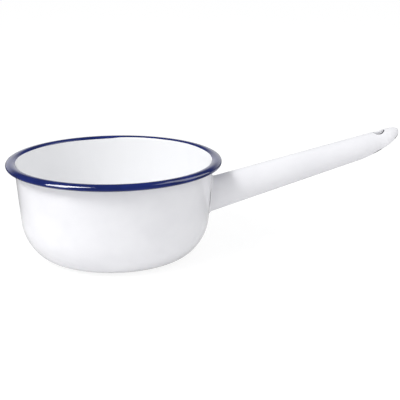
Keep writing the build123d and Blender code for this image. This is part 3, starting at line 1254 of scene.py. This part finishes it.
def seam_faces(sheet: Sheet, half: float, end: float) -> tuple:
    """Parts the faces along the underside that the seam weld fills from the others.

    Args:
        sheet: The handle's sheet.
        half: Half the seam's width.
        end: Place along the handle where the seam stops.

    Returns:
        The seam's faces and the other faces.
    """
    strip, others = [], []
    for face in sheet.faces:
        spots, normals = sheet.points[face], sheet.normals[face]
        low = normals[:, 2].max() < 0 and spots[:, 0].max() <= end + SLACK
        (strip if low and np.abs(spots[:, 1]).max() < half else others).append(face)
    return strip, others


def free_edges(faces: list) -> list:
    """Edges that only one face has, in that face's direction.

    Args:
        faces: Point numbers of each face.

    Returns:
        Pairs of point numbers.
    """
    seen = {}
    for face in faces:
        for first, second in zip(face, face[1:] + face[:1]):
            key = (min(first, second), max(first, second))
            seen[key] = None if key in seen else (first, second)
    return [edge for edge in seen.values() if edge]


def layer_mesh(name: str, sheet: Sheet, faces: list, top: float, bottom: float) -> bpy.types.Mesh:
    """Makes one closed layer of the handle's wall.

    Args:
        name: The mesh's name.
        sheet: The handle's sheet.
        faces: Its faces that the layer covers.
        top: Depth of the layer's outer side under the handle's face.
        bottom: Depth of its inner side.

    Returns:
        The mesh.
    """
    used = sorted({corner for face in faces for corner in face})
    number = {old: new for new, old in enumerate(used)}
    count = len(used)
    points, normals = sheet.points[used], sheet.normals[used]
    outer = [[number[corner] for corner in face] for face in faces]
    inner = [[corner + count for corner in reversed(face)] for face in outer]
    sides = [[second, first, first + count, second + count] for first, second in free_edges(outer)]
    both = np.concatenate([points - normals * top, points - normals * bottom])
    return mesh_from(name, both, outer + inner + sides)


def tube_mesh(name: str, rows: list) -> bpy.types.Mesh:
    """Joins rows of points into a closed tube that also closes around each row.

    Args:
        name: The mesh's name.
        rows: Arrays with the same number of points.

    Returns:
        The mesh.
    """
    around, count = len(rows), len(rows[0])
    faces = []
    for row in range(around):
        after = (row + 1) % around
        for at in range(count):
            beside = (at + 1) % count
            faces.append([row * count + at, row * count + beside, after * count + beside, after * count + at])
    points = np.concatenate(rows)
    volume = 0.0
    for face in faces:
        spots = points[face]
        volume += np.dot(spots[0], np.cross(spots[1], spots[2]) + np.cross(spots[2], spots[3]))
    if volume < 0:
        faces = [face[::-1] for face in faces]
    return mesh_from(name, points, faces)


@dataclass(frozen=True)
class Roll:
    """How a cut edge of the handle's wall is rounded, in millimetres.

    The edge stands out of the cut, and its back sinks into the wall, a share of the wall's thickness
    inside either face. Where it is bare it laps over the face: so far, and that little above it.
    """

    wall: float
    out: float
    rows: int
    sink: float = 0.12
    sink_share: float = 0.15
    lap_lift: float = 0.012
    lap_least: float = 0.02
    lap_bare: float = 0.6


def rolled_edge(name: str, sheet: Sheet, loop: list, roll: Roll, bareness: Callable) -> bpy.types.Mesh:
    """Rounds a cut edge of the handle's wall.

    Args:
        name: The mesh's name.
        sheet: The handle's sheet.
        loop: Point numbers along the cut, in order.
        roll: How the edge is rounded.
        bareness: Gives how bare each point is.

    Returns:
        The mesh, with the attribute bare.
    """
    points, normals = sheet.points[loop], sheet.normals[loop]
    along = np.roll(points, -1, axis=0) - np.roll(points, 1, axis=0)
    out = np.cross(normals, along)
    out /= np.maximum(np.linalg.norm(out, axis=-1, keepdims=True), TINY)
    near = {corner: [] for corner in loop}
    for face in sheet.faces:
        for corner in face:
            if corner in near:
                near[corner].append(sheet.points[face].mean(axis=0))
    inward = np.array([np.mean(near[corner], axis=0) for corner in loop]) - points
    if np.sum(inward * out) > 0:
        out = -out
    rows = []
    for angle in np.linspace(0, math.pi, roll.rows):
        depth = roll.wall * (1 - math.cos(angle)) / 2
        rows.append(points - normals * depth + out * roll.out * math.sin(angle))
    for depth in (1 - roll.sink_share, roll.sink_share):
        rows.append(points - normals * roll.wall * depth - out * roll.sink)
    share = bareness(points)
    lap = roll.lap_least + roll.lap_bare * share[:, None]
    rows.append(points + normals * roll.lap_lift - out * lap)
    mesh = tube_mesh(name, rows)
    bare = mesh.attributes.new("bare", "FLOAT", "POINT")
    bare.data.foreach_set("value", np.tile(share, len(rows)).astype(np.float32))
    return mesh


@dataclass(frozen=True)
class Lamp:
    """A soft rectangular light, aimed at the pan from an azimuth and height in degrees."""

    name: str
    azimuth: float
    height: float
    distance: float
    wide: float
    tall: float
    glow: float
    only: str = ""


@dataclass(frozen=True)
class Studio:
    """Pale floor, white surroundings, soft lamps and the camera, in metres and degrees.

    The spans are where a smooth step starts and ends: how far out the floor stops mirroring the pan, and
    how high and how far back the surroundings turn from dark to white in reflections.
    """

    aim: tuple = (0.02, 0.0, 0.04)
    ambient: float = 0.69
    sky: tuple = (0.985, 0.99, 1.0, 1.0)
    gloss_dark: tuple = (0.07, 0.075, 0.09, 1.0)
    gloss_rise_span: tuple = (0.25, 0.5)
    gloss_back_span: tuple = (0.55, 0.85)
    floor_reach: float = 14.0
    floor_drop: float = 0.15 * MM
    floor_tint: tuple = (0.95, 0.95, 0.95, 1.0)
    floor_glow: float = 0.8
    floor_white: float = 1.08
    floor_mirrored: float = 0.13
    floor_mirrored_near: float = 0.6
    floor_mirror_span: tuple = (0.10, 0.17)
    camera_spot: tuple = (0.0203, -0.5994, 0.2161)
    camera_turn: tuple = (73.33, -0.16, -3.954)
    camera_shift: tuple = (-0.00055, 0.00125)
    camera_sight: float = 60.0
    sensor_mm: float = 36.0
    lens_mm: float = 76.3
    lamps: tuple = (Lamp("key_softbox", -143.5, 47.0, 1.5, 0.69, 0.45, 12.0),
                    Lamp("right_panel", 6.0, 22.0, 1.6, 1.2, 1.2, 0.45),
                    Lamp("rim_softbox", -149.0, 34.0, 1.5, 0.72, 1.9, 22.0, only="rim_blue_coat"),
                    Lamp("rim_window", 8.0, 40.0, 1.6, 1.3, 1.6, 3.4, only="rim_blue_coat"))

    def build(self) -> None:
        """Makes the stage."""
        self.make_floor()
        self.make_world()
        for lamp in self.lamps:
            self.make_lamp(lamp)
        self.make_camera()
        view = bpy.context.scene.view_settings
        view.view_transform = "Standard"

    def make_floor(self) -> None:
        """Makes the pale floor, white to the camera but still with the pan's shadow."""
        reach, level = self.floor_reach / MM, -self.floor_drop / MM
        corners = np.array([[-reach, -reach, level], [reach, -reach, level], [reach, reach, level],
                            [-reach, reach, level]])
        floor = new_object("pale_floor", mesh_from("pale_floor", corners, [[0, 1, 2, 3]]))
        material = bpy.data.materials.new("pale_floor")
        material.use_nodes = True
        tree = Tree(material.node_tree)
        tree.tree.nodes.clear()
        matt = tree.add("ShaderNodeBsdfDiffuse", None, Color=self.floor_tint).outputs[0]
        glow = tree.add("ShaderNodeEmission", None, Color=WHITE, Strength=self.floor_white).outputs[0]
        spot = tree.add("ShaderNodeTexCoord").outputs["Object"]
        away = tree.add("ShaderNodeVectorMath", {"operation": "LENGTH"}, i0=spot).outputs["Value"]
        near = tree.math("SUBTRACT", 1.0, tree.step(away, *self.floor_mirror_span))
        more = self.floor_mirrored_near - self.floor_mirrored
        mirrored = tree.math("MULTIPLY_ADD", near, more, self.floor_mirrored)
        gloss = tree.add("ShaderNodeEmission", None, Color=WHITE, Strength=mirrored).outputs[0]
        seen, glossy = tree.ray_kinds()
        lit = tree.add("ShaderNodeMixShader", None, i0=tree.math("MULTIPLY", seen, self.floor_glow),
                       i1=matt, i2=glow).outputs[0]
        top = tree.add("ShaderNodeMixShader", None, i0=glossy, i1=lit, i2=gloss).outputs[0]
        clear = tree.add("ShaderNodeBsdfTransparent").outputs[0]
        under = tree.add("ShaderNodeNewGeometry").outputs["Backfacing"]
        mix = tree.add("ShaderNodeMixShader", None, i0=under, i1=top, i2=clear)
        tree.add("ShaderNodeOutputMaterial", None, Surface=mix.outputs[0])
        floor.data.materials.append(material)

    def make_world(self) -> None:
        """Makes surroundings that look white and light the pan evenly, dim in front for gloss."""
        world = bpy.data.worlds.new("studio")
        world.use_nodes = True
        bpy.context.scene.world = world
        tree = Tree(world.node_tree)
        tree.tree.nodes.clear()
        toward = tree.add("ShaderNodeSeparateXYZ", None,
                          Vector=tree.add("ShaderNodeTexCoord").outputs["Generated"]).outputs
        low = tree.math("SUBTRACT", 1.0, tree.step(toward[2], *self.gloss_rise_span))
        back = tree.math("MULTIPLY", low, tree.step(toward[1], *self.gloss_back_span))
        seen, glossy = tree.ray_kinds()
        shown = tree.blend(seen, tree.blend(back, self.gloss_dark, WHITE), WHITE)
        bright = tree.add("ShaderNodeBackground", None, Color=shown, Strength=1.0).outputs[0]
        even = tree.add("ShaderNodeBackground", None, Color=self.sky, Strength=self.ambient).outputs[0]
        looked = tree.math("MAXIMUM", seen, glossy)
        mix = tree.add("ShaderNodeMixShader", None, i0=looked, i1=even, i2=bright).outputs[0]
        tree.add("ShaderNodeOutputWorld", None, Surface=mix)

    def make_lamp(self, lamp: Lamp) -> None:
        """Makes one soft lamp.

        Args:
            lamp: Its place, size and glow.
        """
        light = bpy.data.lights.new(lamp.name, "AREA")
        light.shape = "RECTANGLE"
        light.size = lamp.wide
        light.size_y = lamp.tall
        light.energy = lamp.glow * math.pi * lamp.wide * lamp.tall
        around, up = math.radians(lamp.azimuth), math.radians(lamp.height)
        away = Vector((math.cos(around) * math.cos(up), math.sin(around) * math.cos(up), math.sin(up)))
        holder = bpy.data.objects.new(lamp.name, light)
        holder.location = Vector(self.aim) + away * lamp.distance
        holder.rotation_euler = away.to_track_quat("Z", "Y").to_euler()
        if lamp.only:
            # A lamp for one piece gives it shine alone and leaves the others as they are
            shone_on = bpy.data.collections.new(lamp.name + "_pieces")
            shone_on.objects.link(bpy.data.objects[lamp.only])
            holder.light_linking.receiver_collection = shone_on
            holder.visible_diffuse = False
        bpy.context.scene.collection.objects.link(holder)

    def make_camera(self) -> None:
        """Makes the camera that stands where the photograph was taken from."""
        data = bpy.data.cameras.new("camera")
        data.lens = self.lens_mm
        data.sensor_width = self.sensor_mm
        data.clip_end = self.camera_sight
        data.shift_x, data.shift_y = self.camera_shift
        camera = bpy.data.objects.new("camera", data)
        camera.location = self.camera_spot
        camera.rotation_euler = [math.radians(turn) for turn in self.camera_turn]
        bpy.context.scene.collection.objects.link(camera)
        bpy.context.scene.camera = camera


def main() -> None:
    """Builds the pan's looks piece by piece."""
    logging.basicConfig(level=logging.INFO, format="%(name)s: %(message)s")
    bowl = Bowl(BowlSizes(), BowlPoints())
    bowl.build()
    Handle(HandleSizes(), HandlePoints(), bowl).build()
    for node, slot in (("bowl_steel", Slot.SHEET), ("root_weld", Slot.WELD)):
        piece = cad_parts[node]
        piece.data.materials.clear()
        piece.data.materials.append(FINISHES[slot].material())
        log.info("%s keeps its CAD shape, %s", node, slot.value)
    Studio().build()


if __name__ == "__main__":
    main()
